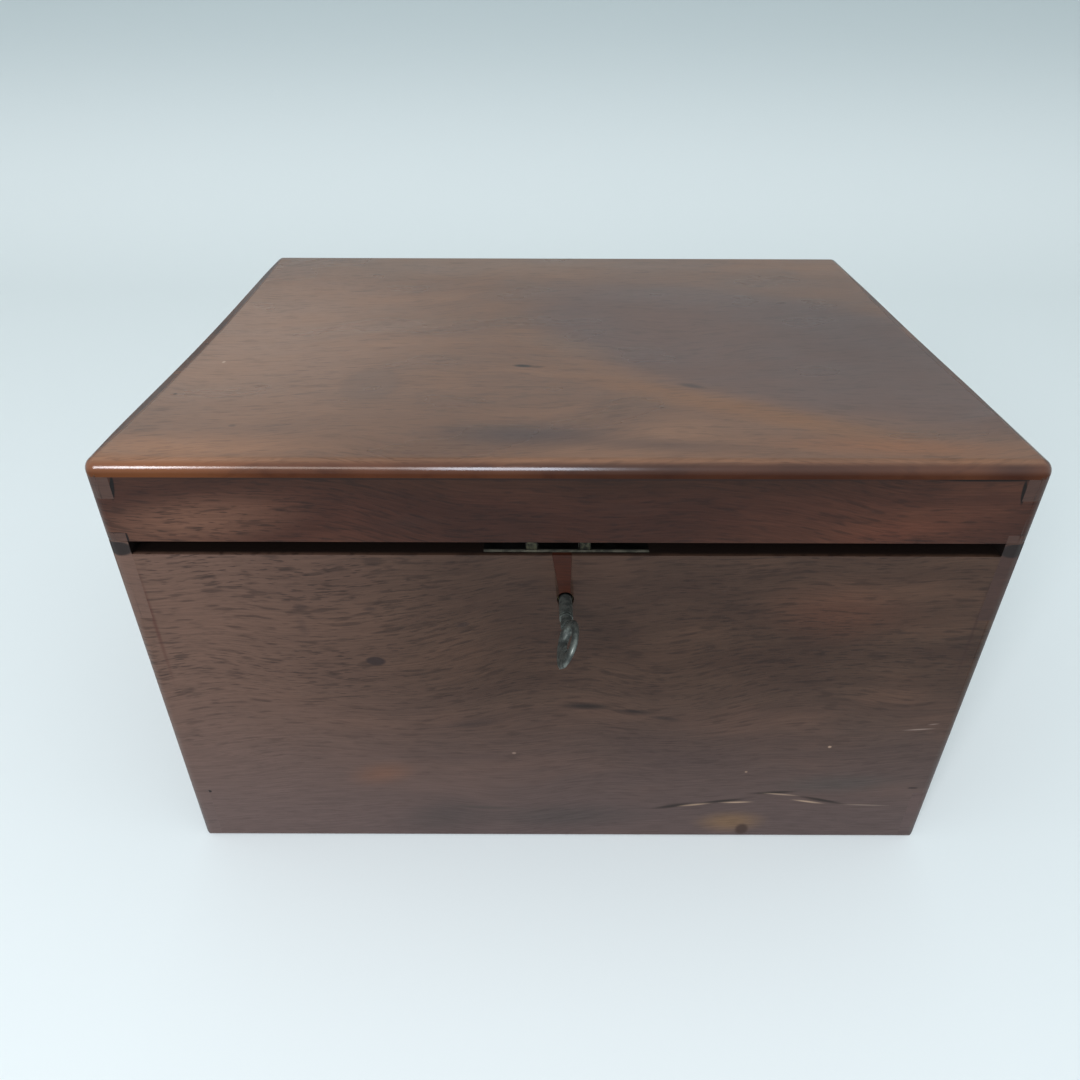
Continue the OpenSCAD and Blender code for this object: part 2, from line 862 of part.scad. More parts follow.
// The hollow key with its top leaning to the right and its bit in the bolt's talon
module key() {
    barrel_end = front_y - barrel_out;
    bow_y = front_y - bow_out;
    neck_end = bow_y + bow_r + bow_stretch / 2;
    color(steel) translate([0, 0, key_z]) rotate([0, key_lean, 0]) difference() {
        union() {
            rod_y(0, 0, barrel_r, barrel_end, bit_back);
            rod_y(0, 0, neck_r, neck_end, barrel_end + eps);
            translate([0, bow_y, 0]) bow();
            intersection() {
                span([-bit_t / 2, bit_front, 0], [bit_t / 2, bit_back, bit_r]);
                rod_y(0, 0, bit_r, bit_front, bit_back);
            }
        }
        rod_y(0, 0, barrel_bore_r, front_y - skin_t, bit_back + past);
        difference() {
            rod_y(0, 0, barrel_r + past, barrel_end + groove_w, barrel_end + 2 * groove_w);
            rod_y(0, 0, barrel_r - groove_d, barrel_end, barrel_end + 3 * groove_w);
        }
        difference() {
            rod_y(0, 0, ward_r + ward_t, plate_y - ward_h - works_gap, bit_back + past);
            rod_y(0, 0, ward_r - ward_t, plate_y - ward_h - 2 * works_gap, bit_back + 2 * past);
        }
    }
}

front_panel();
back_panel();
left_side();
right_side();
bottom_board();
bottom_brads();
keyhole_slip();
lid_top();
lid_front_rail();
lid_back_rail();
lid_left_rail();
lid_right_rail();
hinge_left_case_leaf();
hinge_right_case_leaf();
hinge_left_lid_leaf();
hinge_right_lid_leaf();
hinge_left_pin();
hinge_right_pin();
hinge_case_screws();
hinge_lid_screws();
lock_plate();
lock_cap();
lock_pillars();
lock_drill_pin();
lock_stumps();
lock_ward();
lock_spring();
lock_bolt();
lock_screws();
link_plate();
link_hooks();
link_screws();
key();
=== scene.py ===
# %% [markdown]
# # An antique glove box
#
# This notebook dresses a small mahogany box: a dovetailed case whose front board has a lower
# rim than its sides, a shallow lid, a brass link lock and a dark hollow key. The shapes and
# sizes come from a CAD model that is loaded first and never changed. Blender's part of the
# work is what the eye reads as age: worn edges, open joints, faded wax, knots and tarnish.

# %% Load the CAD model
import json
import math

import bmesh
import bpy
from mathutils import Matrix, Vector, noise

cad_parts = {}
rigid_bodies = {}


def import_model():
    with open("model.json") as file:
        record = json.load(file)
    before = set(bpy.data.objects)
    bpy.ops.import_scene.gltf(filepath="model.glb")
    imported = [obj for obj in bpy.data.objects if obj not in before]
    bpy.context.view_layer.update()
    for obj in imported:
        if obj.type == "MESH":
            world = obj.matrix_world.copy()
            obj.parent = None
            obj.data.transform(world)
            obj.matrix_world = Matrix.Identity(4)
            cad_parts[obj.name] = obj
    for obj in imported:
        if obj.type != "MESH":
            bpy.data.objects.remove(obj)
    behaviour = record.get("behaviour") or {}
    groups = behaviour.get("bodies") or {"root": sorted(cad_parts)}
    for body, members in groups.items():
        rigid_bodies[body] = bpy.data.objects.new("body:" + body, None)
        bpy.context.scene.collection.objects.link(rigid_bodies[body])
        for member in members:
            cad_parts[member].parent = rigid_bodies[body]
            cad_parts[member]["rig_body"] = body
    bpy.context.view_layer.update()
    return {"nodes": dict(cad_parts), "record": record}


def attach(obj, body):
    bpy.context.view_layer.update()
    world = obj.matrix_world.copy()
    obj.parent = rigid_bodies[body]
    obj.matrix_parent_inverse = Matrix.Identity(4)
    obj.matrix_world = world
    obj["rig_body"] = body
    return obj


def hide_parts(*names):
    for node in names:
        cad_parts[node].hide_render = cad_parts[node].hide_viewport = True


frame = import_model()
MM = 0.001
print("CAD nodes:", len(frame["nodes"]))

# %% [markdown]
# ## The camera
#
# The lens and the place were solved from the box's own corners and edges, so the render can be
# laid over the photograph. The camera looks down by about 34 degrees from close by, which is why
# the front seems to taper towards the floor. Its three directions are worked out from the
# solved angles and set as one matrix, so that no aiming helper rounds them.

# %% Camera
SENSOR_MM = 36
FOCAL_PIXELS, IMAGE_PIXELS = 834.48, 1080
CAMERA_PLACE_MM = Vector((-8.135, -318.213, 279.192))
# Down, to the side and round the lens, in radians.
PITCH, YAW, ROLL = 0.58615, 0.00008, 0.00296

camera_data = bpy.data.cameras.new("camera")
camera_data.sensor_width = SENSOR_MM
camera_data.lens = FOCAL_PIXELS * SENSOR_MM / IMAGE_PIXELS
camera_data.clip_start = 0.01
camera = bpy.data.objects.new("camera", camera_data)
bpy.context.scene.collection.objects.link(camera)
ahead = Vector(
    (math.sin(YAW) * math.cos(PITCH), math.cos(YAW) * math.cos(PITCH), -math.sin(PITCH))
)
level = Vector((math.cos(YAW), -math.sin(YAW), 0))
rise = level.cross(ahead)
right = level * math.cos(ROLL) + rise * math.sin(ROLL)
upward = rise * math.cos(ROLL) - level * math.sin(ROLL)
turned = Matrix((right, upward, -ahead)).transposed().to_4x4()
camera.matrix_world = Matrix.Translation(CAMERA_PLACE_MM * MM) @ turned
bpy.context.scene.camera = camera
print("lens", round(camera_data.lens, 2), "mm")
print("looking down by", round(math.degrees(PITCH), 1), "degrees")

# %% [markdown]
# ## Colours
#
# Colours are picked on screen, so they are written as sRGB hex values. Shaders add and
# multiply light, and that only works on linear values, so one function turns the first into the
# second.

# %% Colour helper
def linear(hex_colour):
    """An sRGB hex value as the linear colour that a shader takes."""
    parts = [int(hex_colour[i : i + 2], 16) / 255 for i in (1, 3, 5)]
    return [p / 12.92 if p <= 0.04045 else ((p + 0.055) / 1.055) ** 2.4 for p in parts] + [1.0]


print("mid grey is", round(linear("#808080")[0], 3), "in linear light")

# %% [markdown]
# ## Nodes
#
# Every material is a small graph of nodes. One function adds a node of any kind with its
# settings, its inputs and its colour stops, and links an input where it is given another node's
# output.

# %% Node helper
def add(tree, kind, settings=None, inputs=None, stops=None):
    """Adds a node. Inputs are numbers, hex colours or another node's output."""
    node = tree.nodes.new("ShaderNode" + kind)
    for name, value in (settings or {}).items():
        setattr(node, name, value)
    for name, value in (inputs or {}).items():
        if isinstance(value, bpy.types.NodeSocket):
            tree.links.new(value, node.inputs[name])
        elif isinstance(value, str):
            node.inputs[name].default_value = linear(value)
        else:
            node.inputs[name].default_value = value
    if stops:
        ramp = node.color_ramp.elements
        while len(ramp) < len(stops):
            ramp.new(0.5)
        for element, (place, colour) in zip(ramp, stops):
            element.position = place
            element.color = linear(colour)
    return node


def new_material(name):
    """An empty node material and its tree."""
    material = bpy.data.materials.new(name)
    material.use_nodes = True
    material.node_tree.nodes.clear()
    return material, material.node_tree


print("materials so far:", len(bpy.data.materials))

# %% [markdown]
# ## Fades and stains
#
# Nearly all that age does to this box is a stain: one colour laid over another, strong in one
# place and fading out towards the next. A fade takes a value, such as the height over the floor,
# and turns it smoothly from one strength to another between two limits. Where a stain has two
# fades, it lies only where both are strong. The same fades vary the gloss and bend the grain.

# %% Fades and stains
NONE_TO_FULL = (0.0, 1.0)


def fade(tree, *fades):
    """The product of fades, each a value, its two limits and perhaps its own two strengths."""
    product = None
    for value, low, high, *strengths in fades:
        weak, strong = strengths or NONE_TO_FULL
        share = add(
            tree,
            "MapRange",
            {"interpolation_type": "SMOOTHSTEP"},
            {"Value": value, "From Min": low, "From Max": high, "To Min": weak, "To Max": strong},
        ).outputs[0]
        if product is None:
            product = share
        else:
            product = add(
                tree, "Math", {"operation": "MULTIPLY"}, {0: product, 1: share}
            ).outputs[0]
    return product


def stain(tree, colour, new_colour, *fades):
    """A colour with a new one over it, as strong as the product of the fades."""
    return add(
        tree,
        "Mix",
        {"data_type": "RGBA", "blend_type": "MIX"},
        {0: fade(tree, *fades), 6: colour, 7: new_colour},
    ).outputs[2]


print("a fade goes from", *NONE_TO_FULL, "unless it gives its own strengths")

# %% [markdown]
# ## Sizes that the finishes need
#
# Some stains follow the joinery, so they use the same heights and faces as the CAD model, in
# millimetres from the middle of the underside.

# %% Sizes in mm
FRONT_FACE = -108.6
FRONT_RIM = 134.3
SIDE_RIM = 138.9
SIDE_INSIDE = 132.7
print("the gap over the front board is", round(SIDE_RIM - FRONT_RIM, 1), "mm high")

# %% [markdown]
# ## Mahogany
#
# Mahogany is a red-brown wood that darkens with age, or bleaches to a greyish tan where the sun
# reaches it. Its pores are long and open, so they show as fine dark dashes along the grain, and
# its grain leans one way and then the other, which gives bands of light and dark. An image could
# carry all that, but noise that is stretched along the board works on every face and has no
# seams.
#
# A noise pattern is about one unit wide, so dividing by a size in millimetres gives it that
# size. Bundles of fibres are some 14 mm long and half a millimetre wide. The real pores are 4 mm
# long and 0.1 mm wide, finer than one dot of the render, so they are drawn 0.4 mm wide.

# %% Sizes of the grain
# Which way the grain runs, which way crosses it, and which goes through the board.
GRAIN_AXES = {"along_x": ("X", "Z", "Y"), "along_y": ("Y", "Z", "X"), "flat": ("X", "Y", "Z")}
# Length, width and depth in mm of each pattern, and how many finer copies it carries.
GRAIN_SIZES = {
    "fibre": ((14, 0.5, 3), 3.0),
    "pore": ((4, 0.4, 2), 1.0),
    "figure": ((8, 1.3, 4), 1.0),
    "band": ((90, 7, 20), 2.0),
    "cloud": ((50, 24, 40), 3.0),
}
# The slow drift that bends a board's grain, and the step between two patterns' seeds.
DRIFT_MM = 85
SEED_STEP = 3.7
print("grain patterns:", ", ".join(GRAIN_SIZES))

# %% [markdown]
# ### Grain that bends
#
# No board has straight grain. The height on the board is shifted by a slow noise before the
# fine patterns are made, so they all bend together. The unshifted height is kept too, because
# marks such as knots are placed by the ruler and not by the grain. Each kind of board has a seed
# of its own, so that no two kinds show the same grain.

# %% Grain of one board
def wood_grain(tree, lie, seed, lean=0.0, wander=6.0):
    """Places on a board in mm, and its grain patterns, bent by up to wander mm."""
    place = add(tree, "TexCoord").outputs["Object"]
    millimetres = add(
        tree, "VectorMath", {"operation": "SCALE"}, {"Vector": place, "Scale": 1 / MM}
    ).outputs[0]
    split = add(tree, "SeparateXYZ", None, {"Vector": millimetres}).outputs
    run, over, deep = [split[axis] for axis in GRAIN_AXES[lie]]
    drift = add(
        tree,
        "TexNoise",
        {"noise_dimensions": "4D"},
        {"Vector": millimetres, "Scale": 1 / DRIFT_MM, "Detail": 1.0, "W": seed},
    ).outputs[0]
    shift = fade(tree, (drift, 0.2, 0.8, -wander, wander))
    leaning = add(
        tree, "Math", {"operation": "MULTIPLY_ADD"}, {0: run, 1: -lean, 2: shift}
    ).outputs[0]
    height = add(tree, "Math", {"operation": "ADD"}, {0: over, 1: leaning}).outputs[0]
    bent = add(tree, "CombineXYZ", None, {"X": run, "Y": height, "Z": deep}).outputs[0]
    flat = add(tree, "CombineXYZ", None, {"X": run, "Y": over, "Z": deep}).outputs[0]
    grain = {"run": run, "over": over, "deep": deep, "flat": flat}
    for number, (name, (size, detail)) in enumerate(GRAIN_SIZES.items()):
        stretch = [1 / length for length in size]
        squeezed = add(
            tree, "VectorMath", {"operation": "MULTIPLY"}, {0: bent, 1: stretch}
        ).outputs[0]
        grain[name] = add(
            tree,
            "TexNoise",
            {"noise_dimensions": "4D"},
            {"Vector": squeezed, "Scale": 1.0, "Detail": detail, "W": seed + SEED_STEP * number},
        ).outputs[0]
    return grain


print("the grain drifts over", DRIFT_MM, "mm")

# %% [markdown]
# ### Marks
#
# What makes one board different from the next is its marks: a knot, a bleached patch, a crack, a
# filled nail hole. Each is a soft ellipse laid on the board in millimetres, and a list of them
# is laid over the grain one after the other. A mark is given as its place, half its length and
# height, its turn in degrees, its colour, how strong it is and how soft its rim is. Places are
# measured from the middle of the box's underside: to the right and up on the front, to the
# right and back on the top. A spherical gradient that is squeezed to the mark's size gives the
# ellipse, and it reaches right through the board, as a knot does.

# %% Marks laid on a board
THROUGH_MM = 9000.0


def lay_marks(tree, grain, colour, marks):
    """The colour of a board once its marks are laid on it."""
    for place, half_size, turn, mark_colour, strength, softness in marks:
        local = add(
            tree,
            "Mapping",
            {"vector_type": "TEXTURE"},
            {
                "Vector": grain["flat"],
                "Location": (*place, 0.0),
                "Rotation": (0, 0, math.radians(turn)),
                "Scale": (*half_size, THROUGH_MM),
            },
        ).outputs[0]
        near = add(
            tree, "TexGradient", {"gradient_type": "SPHERICAL"}, {"Vector": local}
        ).outputs[1]
        colour = stain(tree, colour, mark_colour, (near, 0, softness, 0, strength))
    return colour


print("a mark reaches", THROUGH_MM, "mm deep")

# %% [markdown]
# ### Tone and grain
#
# A board's colour is built as a finisher would see it. First comes the broad tone: clouds of
# three shades, crossed by darker bands. Over it lies the fine grain: fibres that lighten and
# darken it a little, short dark smudges, and the open pores, which fill with dark wax.

# %% Tone and grain
WAX_IN_PORES = "#1d120f"


def board_tone(tree, grain, dark, middle, light):
    """The broad colour of a board."""
    tone = add(
        tree,
        "ValToRGB",
        None,
        {"Fac": grain["cloud"]},
        [(0.34, dark), (0.5, middle), (0.66, light)],
    ).outputs[0]
    return stain(tree, tone, dark, (grain["band"], 0.38, 0.68, 0, 0.55))


def draw_grain(tree, grain, colour, pore_share, pore=WAX_IN_PORES, contrast=0.2):
    """The fine grain over a colour. The share of pores is a number or a node's output."""
    fibres = fade(tree, (grain["fibre"], 0.3, 0.72, 1 - contrast, 1 + contrast))
    lined = add(
        tree,
        "Mix",
        {"data_type": "RGBA", "blend_type": "MULTIPLY"},
        {0: 1.0, 6: colour, 7: fibres},
    ).outputs[2]
    smudges, fewest = [
        add(tree, "Math", {"operation": "MULTIPLY"}, {0: pore_share, 1: share}).outputs[0]
        for share in (0.75, 0.35)
    ]
    smudged = stain(tree, lined, pore, (grain["figure"], 0.54, 0.7, 0, smudges))
    dashes = (grain["pore"], 0.56, 0.68)
    return stain(tree, smudged, pore, dashes, (grain["cloud"], 0.62, 0.4, fewest, pore_share))


print("pores are filled with", WAX_IN_PORES)

# %% [markdown]
# ### Wax
#
# Old wax is a thin clear coat that has been rubbed more in some places than in others. So each
# board ends with a roughness that varies a little, and a bump of a tenth of a millimetre where
# the wax has sunk into the grain. Wax and old finish bend light with an IOR of about 1.5.

# %% Wax over the wood
GRAIN_RELIEF_MM = 0.1


def waxed(material, tree, grain, colour, gloss, specular=0.5, relief=0.2):
    """Ends a wood material with its wax. Gloss is the roughness before its patches."""
    patches = fade(tree, (grain["cloud"], 0.3, 0.7, -0.04, 0.06))
    roughness = add(tree, "Math", {"operation": "ADD"}, {0: gloss, 1: patches}).outputs[0]
    ups = add(
        tree,
        "Math",
        {"operation": "MULTIPLY_ADD"},
        {0: grain["pore"], 1: -0.6, 2: grain["fibre"]},
    ).outputs[0]
    bump = add(
        tree,
        "Bump",
        None,
        {"Strength": relief, "Distance": GRAIN_RELIEF_MM * MM, "Height": ups},
    ).outputs[0]
    shader = add(
        tree,
        "BsdfPrincipled",
        None,
        {
            "Base Color": colour,
            "Roughness": roughness,
            "IOR": 1.5,
            "Specular IOR Level": specular,
            "Normal": bump,
        },
    ).outputs[0]
    add(tree, "OutputMaterial", None, {"Surface": shader})
    print(material.name, "has", len(tree.nodes), "nodes")


# %% [markdown]
# ### A painted reflection on the front
#
# A grey veil of painted reflection lies on the front's left side, less under the lid, and near
# the floor, where it stands for the pale floor mirrored in the wax. It is shared with the end
# grain of the side boards, which shows at both ends of the front.

# %% Painted reflection on the wax
# Limits in mm of the painted reflection: towards the left side, below the lid, towards the floor.
REFLECTION_TO_LEFT, REFLECTION_BELOW_LID, REFLECTION_TO_FLOOR = (-10, -140), (150, 132), (95, -5)


def with_painted_reflection(tree, grain, colour):
    """A painted grey reflection towards the left side and, more softly, towards the floor."""
    from_left = (grain["run"], *REFLECTION_TO_LEFT, 0, 0.85)
    below_lid = (grain["over"], *REFLECTION_BELOW_LID, 0.35, 1.0)
    colour = stain(tree, colour, "#5e463b", from_left, below_lid)
    return stain(tree, colour, "#554745", (grain["over"], *REFLECTION_TO_FLOOR, 0, 0.7))


# The grey near the floor is a painted reflection of the pale floor.
print("the grey bloom near the floor reaches up to", REFLECTION_TO_FLOOR[0], "mm")

# %% [markdown]
# ### The front board
#
# This is planed mahogany, darkened and waxed, and the most worn face of the box. Its wax is
# dull, so the eye sees a soft sheen and no reflections. It is browner in the middle of its
# upper half. It has a few small knots, smoky streaks under the keyhole, a long wavy crack near
# its foot with pale broken fibres in it, and a golden patch below that. The pores are plain to
# see near the lid and fade towards the floor. Its rim behind the front edge, where the lid
# leaves a gap, is painted nearly black as shade.

# %% Marks on the front board
FRONT_PATCHES = [
    ((-66, 36), (17, 8), 12, "#664432", 0.5, 1.0),
    ((-44, 12), (26, 14), 15, "#3b3432", 0.55, 1.0),
    ((2, 12), (46, 10), 2, "#3a3432", 0.6, 1.0),
    ((104, 31), (34, 8), 4, "#3e3936", 0.6, 1.0),
    ((10, 128), (90, 40), 0, "#31221b", 0.65, 1.0),
    ((88, 112), (34, 16), -6, "#4e2f22", 0.5, 1.0),
    ((66, 9), (17, 8), 2, "#6d5339", 0.7, 0.9),
]
FRONT_MARKS = [
    ((71, 4.6), (3.2, 4), 0, "#35251f", 0.85, 0.5),
    ((-62.8, 91.3), (3.9, 2.2), -4, "#291d1b", 0.95, 0.35),
    ((-84.4, 113.9), (3.2, 2), 0, "#33241f", 0.7, 0.8),
    ((-84.9, 106), (2.4, 6), 8, "#3a2a25", 0.4, 1.0),
    ((-62.3, 113.4), (3, 1.3), 0, "#33241f", 0.7, 0.8),
    ((-33, 107), (2.8, 1.3), 10, "#2d201c", 0.8, 0.6),
    ((8, 70.8), (13, 2.2), -2, "#171110", 0.85, 0.9),
    ((25, 68.2), (11, 1.7), -6, "#1b1413", 0.75, 1.0),
    ((36, 65), (8, 1.4), -8, "#201817", 0.65, 1.0),
    ((-31, 62), (14, 3), 6, "#281e1c", 0.5, 1.0),
    ((20, 104), (2.6, 3.4), 30, "#33231e", 0.6, 1.0),
    ((43, 18.2), (10, 1.3), 12, "#1f1814", 0.85, 0.8),
    ((62, 21.2), (12, 1), 8, "#1f1814", 0.85, 0.8),
    ((80, 26), (12, 1), 4, "#1f1814", 0.85, 0.8),
    ((99, 21.8), (13, 1.1), -14, "#1f1814", 0.85, 0.8),
    ((-28, 17), (20, 1.2), -4, "#3a3430", 0.6, 1.0),
    ((51, 18.9), (8, 0.7), 8, "#8f7863", 0.8, 0.9),
    ((67, 20.4), (8, 0.6), 2, "#a08771", 0.85, 0.9),
    ((83, 25), (9, 0.6), -6, "#907a68", 0.75, 0.9),
    ((94, 20.9), (8, 0.7), -10, "#9a826d", 0.85, 0.9),
    ((116, 19), (12, 0.6), -2, "#8a786a", 0.4, 0.9),
    ((126.5, 59.8), (7, 0.5), 5, "#8d7a70", 0.6, 0.9),
    ((131, 62.4), (2.6, 0.4), 8, "#8d7a70", 0.45, 0.9),
    ((96.6, 50.8), (0.9, 0.7), 0, "#a88c76", 0.6, 0.6),
    ((68.3, 37.4), (0.7, 0.6), 0, "#9a806c", 0.5, 0.6),
    ((-17.3, 47.1), (1, 0.7), 0, "#8f7769", 0.5, 0.6),
    ((-132.5, 106), (1.1, 34), 0, "#41221a", 0.6, 1.0),
    ((132.6, 106), (0.9, 34), 0, "#2c1a17", 0.5, 1.0),
    ((-132.4, 25.8), (0.9, 0.8), 0, "#160d0b", 1.0, 0.4),
    ((132, 28.8), (2.5, 0.6), 0, "#1b1210", 0.7, 0.5),
]
print("marks on the front board:", len(FRONT_PATCHES) + len(FRONT_MARKS))

# %% Front board material
mahogany_front, tree = new_material("waxed_mahogany_front")
grain = wood_grain(tree, "along_x", lean=0.06, wander=7.0, seed=1.0)
colour = board_tone(tree, grain, "#35241c", "#3f2d23", "#4b3529")
colour = with_painted_reflection(tree, grain, colour)
colour = lay_marks(tree, grain, colour, FRONT_PATCHES)
pore_share = fade(tree, (grain["over"], 25, 95, 0.16, 0.62))
colour = draw_grain(tree, grain, colour, pore_share=pore_share, contrast=0.13)
colour = lay_marks(tree, grain, colour, FRONT_MARKS)
# Painted shade: the rim behind the front edge, where the lid shades the gap, is darkened nearly
# black.
shaded_rim_height = (grain["over"], FRONT_RIM - 0.4, FRONT_RIM - 0.1)
shaded_rim_depth = (grain["deep"], FRONT_FACE + 0.2, FRONT_FACE + 2.1)
colour = stain(tree, colour, "#1a1310", shaded_rim_height, shaded_rim_depth)
waxed(mahogany_front, tree, grain, colour, gloss=0.42, specular=0.18)

# %% [markdown]
# ### The rails and the back
#
# The lid's front and back rails are the same waxed mahogany as the front, but handling keeps
# them cleaner and glossier, and the shade under the top board keeps their red. The left end has
# a pale rubbed patch, and dark joint lines show where the rail meets the side rails and the top
# board. The photograph doesn't show the back board, so it has this wood and no marks of its own.

# %% Rail material
RAIL_PATCHES = [
    ((-112, 146), (44, 13), 8, "#674839", 0.7, 1.0),
    ((20, 152), (110, 26), 0, "#24140f", 0.5, 1.0),
    ((97, 143), (26, 7), 8, "#542f22", 0.5, 1.0),
    # The last patch is painted shade: a dark strip along the top of the rails, under the top
    # board.
    ((0, 163), (260, 13), 0, "#27180f", 0.6, 1.0),
]
RAIL_MARKS = [
    ((-49, 146), (16, 4), 4, "#2c1c17", 0.5, 1.0),
    ((18, 151), (14, 3), -6, "#2c1c17", 0.4, 1.0),
    ((-132.2, 157.6), (0.8, 4.8), -12, "#0c0807", 1.0, 0.35),
    ((-135, 141.9), (3.6, 0.5), 0, "#120b0a", 1.0, 0.4),
    ((-132.4, 140.4), (0.45, 2), 0, "#120b0a", 1.0, 0.4),
    ((121, 161), (18, 0.45), 0, "#0c0807", 1.0, 0.5),
    ((-6, 160.9), (128, 0.4), 0, "#20130f", 0.8, 0.4),
    ((132.3, 157), (0.8, 5), 8, "#0c0807", 0.95, 0.4),
]
mahogany_rail, tree = new_material("waxed_mahogany_rail")
grain = wood_grain(tree, "along_x", lean=-0.08, wander=8.0, seed=21.0)
colour = board_tone(tree, grain, "#321c15", "#3c2219", "#4a2c20")
colour = lay_marks(tree, grain, colour, RAIL_PATCHES)
colour = draw_grain(tree, grain, colour, pore_share=0.6, contrast=0.15)
colour = lay_marks(tree, grain, colour, RAIL_MARKS)
waxed(mahogany_rail, tree, grain, colour, gloss=0.36, specular=0.15)

# %% [markdown]
# ### The sides and the end grain
#
# The side boards are waxed mahogany like the front, lighter and a little greyer near the floor,
# with their grain running to the back. Their inner face is painted dark as shade where it closes
# the gap. Where a board's end shows, in the tails of the dovetails, the pores are cut across,
# drink more wax and look darker and duller. The ends in the gap under the lid carry a painted
# shadow of the lid.

# %% Side board material
mahogany_side, tree = new_material("waxed_mahogany_side")
grain = wood_grain(tree, "along_y", seed=5.0)
colour = board_tone(tree, grain, "#4a342a", "#5a4133", "#664a3a")
colour = stain(tree, colour, "#6c5b57", (grain["over"], 90, 0, 0, 0.6))
colour = draw_grain(tree, grain, colour, pore_share=0.42)
from_middle = add(tree, "Math", {"operation": "ABSOLUTE"}, {0: grain["deep"]}).outputs[0]
# Painted shade: the inner face is darkened where it closes the gap under the lid.
shaded_inside_face = (from_middle, SIDE_INSIDE + 0.6, SIDE_INSIDE + 0.2)
shaded_gap_height = (grain["over"], FRONT_RIM - 1.3, FRONT_RIM + 0.2)
colour = stain(tree, colour, "#17110f", shaded_inside_face, shaded_gap_height)
waxed(mahogany_side, tree, grain, colour, gloss=0.4, specular=0.35)

# %% End grain material
# Painted shadow: the ends of the side boards in the gap under the lid are darkened, as the lid
# shades them.
END_GAP_SHADOWS = [
    ((-136.4, 136.4), (5.5, 3), 0, "#150c0a", 0.95, 0.3),
    ((136.4, 136.4), (5.5, 3), 0, "#150c0a", 0.95, 0.3),
]
mahogany_end, tree = new_material("mahogany_end_grain")
grain = wood_grain(tree, "along_x", seed=9.0)
colour = board_tone(tree, grain, "#33211b", "#3c2822", "#472f27")
colour = with_painted_reflection(tree, grain, colour)
on_lid = (grain["over"], SIDE_RIM, SIDE_RIM + 0.4, 0, 0.7)
colour = stain(tree, colour, "#3f2a22", on_lid)
colour = draw_grain(tree, grain, colour, pore_share=0.3, contrast=0.08)
colour = lay_marks(tree, grain, colour, END_GAP_SHADOWS)
waxed(mahogany_end, tree, grain, colour, gloss=0.5, specular=0.25)

# %% [markdown]
# ### The slip and the bottom
#
# A slip of redder wood is let in above the keyhole. Its kind can't be told from the photograph,
# so it is only a darker, closer-grained red wood under the same wax. The bottom is planed pine
# that nobody waxed: pale, brown with dust, and dull. It goes through the same last step with a
# roughness of 0.7, which is bare wood.

# %% Slip and bottom materials
red_slip, tree = new_material("waxed_red_wood_slip")
grain = wood_grain(tree, "along_x", seed=12.0)
colour = board_tone(tree, grain, "#2c140c", "#3a1b10", "#482214")
colour = draw_grain(tree, grain, colour, pore_share=0.3)
waxed(red_slip, tree, grain, colour, gloss=0.45, specular=0.15)

old_pine, tree = new_material("bare_old_pine")
grain = wood_grain(tree, "flat", seed=15.0)
colour = board_tone(tree, grain, "#6d563f", "#84694c", "#987c5b")
colour = draw_grain(tree, grain, colour, pore="#4a3826", pore_share=0.3)
waxed(old_pine, tree, grain, colour, gloss=0.7)

# %% [markdown]
# ### The top board
#
# The sun has bleached the top, and its figure shows best: a purplish grey field at the right
# whose edge sweeps down in a curve, a golden band under that edge, a smoky patch near the
# front, a faint oval ring and two small knots. Its wax is the best kept, so it has a satin
# gloss and hardly any relief. The rounded edge all round stays redder and darker, because
# fingers rub its bleached skin away and polish it. The underside has never seen the sun, so it
# is darker.

# %% Marks on the top board
TOP_PATCHES = [
    ((-125, 0), (110, 150), 0, "#a37f6a", 0.65, 1.0),
    ((-120, -99), (62, 16), 0, "#a97858", 0.6, 1.0),
    ((-40, 96), (160, 34), 0, "#856c5c", 0.5, 1.0),
    ((84, -10), (128, 66), -35, "#604943", 0.75, 0.3),
    ((60, 64), (120, 40), 0, "#6e5950", 0.5, 1.0),
    ((118, 0), (60, 90), 0, "#54403b", 0.5, 1.0),
    ((60, -72), (92, 12), -30, "#845838", 0.7, 0.9),
    ((96, -98), (54, 9), -4, "#8f5b3a", 0.65, 1.0),
    ((-12, -90), (46, 13), -3, "#4d3b37", 0.8, 1.0),
    ((28, -97), (36, 7), -3, "#4f3c37", 0.5, 1.0),
    ((-78, 8), (52, 7), 24, "#8c6d5a", 0.5, 1.0),
    ((4, -10), (30, 14), -32, "#765947", 0.5, 1.0),
]
TOP_MARKS = [
    ((-67, -47.5), (12, 16.5), 0, "#5e463a", 0.25, 0.25),
    ((-67, -47.5), (10.5, 14.5), 0, "#7a5e4f", 0.25, 0.25),
    ((-14.5, -30), (4.6, 1.7), -8, "#281b17", 0.9, 0.6),
    ((-9, -31), (3, 0.8), 0, "#402d26", 0.6, 0.6),
    ((44, -49.6), (7, 2.6), -22, "#3a2b27", 0.7, 0.9),
    ((-131.7, -55.9), (0.9, 1.2), 0, "#46332a", 0.8, 0.6),
    ((-125, -25.4), (0.8, 1.2), 0, "#c9ad98", 0.7, 0.6),
    ((-104, -82.5), (1.6, 1.2), 0, "#5c4437", 0.7, 0.6),
]
EDGE_MARKS = [
    ((84, -107), (84, 8), 0, "#3c2218", 0.75, 1.0),
    ((16, -107), (70, 8), 0, "#2b1914", 0.75, 1.0),
    ((-122, -107), (44, 8), 0, "#83502f", 0.7, 1.0),
    ((128, -107), (16, 8), 0, "#331b15", 0.85, 1.0),
    ((128.5, -106.2), (1.4, 0.8), 0, "#1d0f0b", 0.9, 0.5),
]
print("marks on the top board:", len(TOP_PATCHES) + len(TOP_MARKS) + len(EDGE_MARKS))

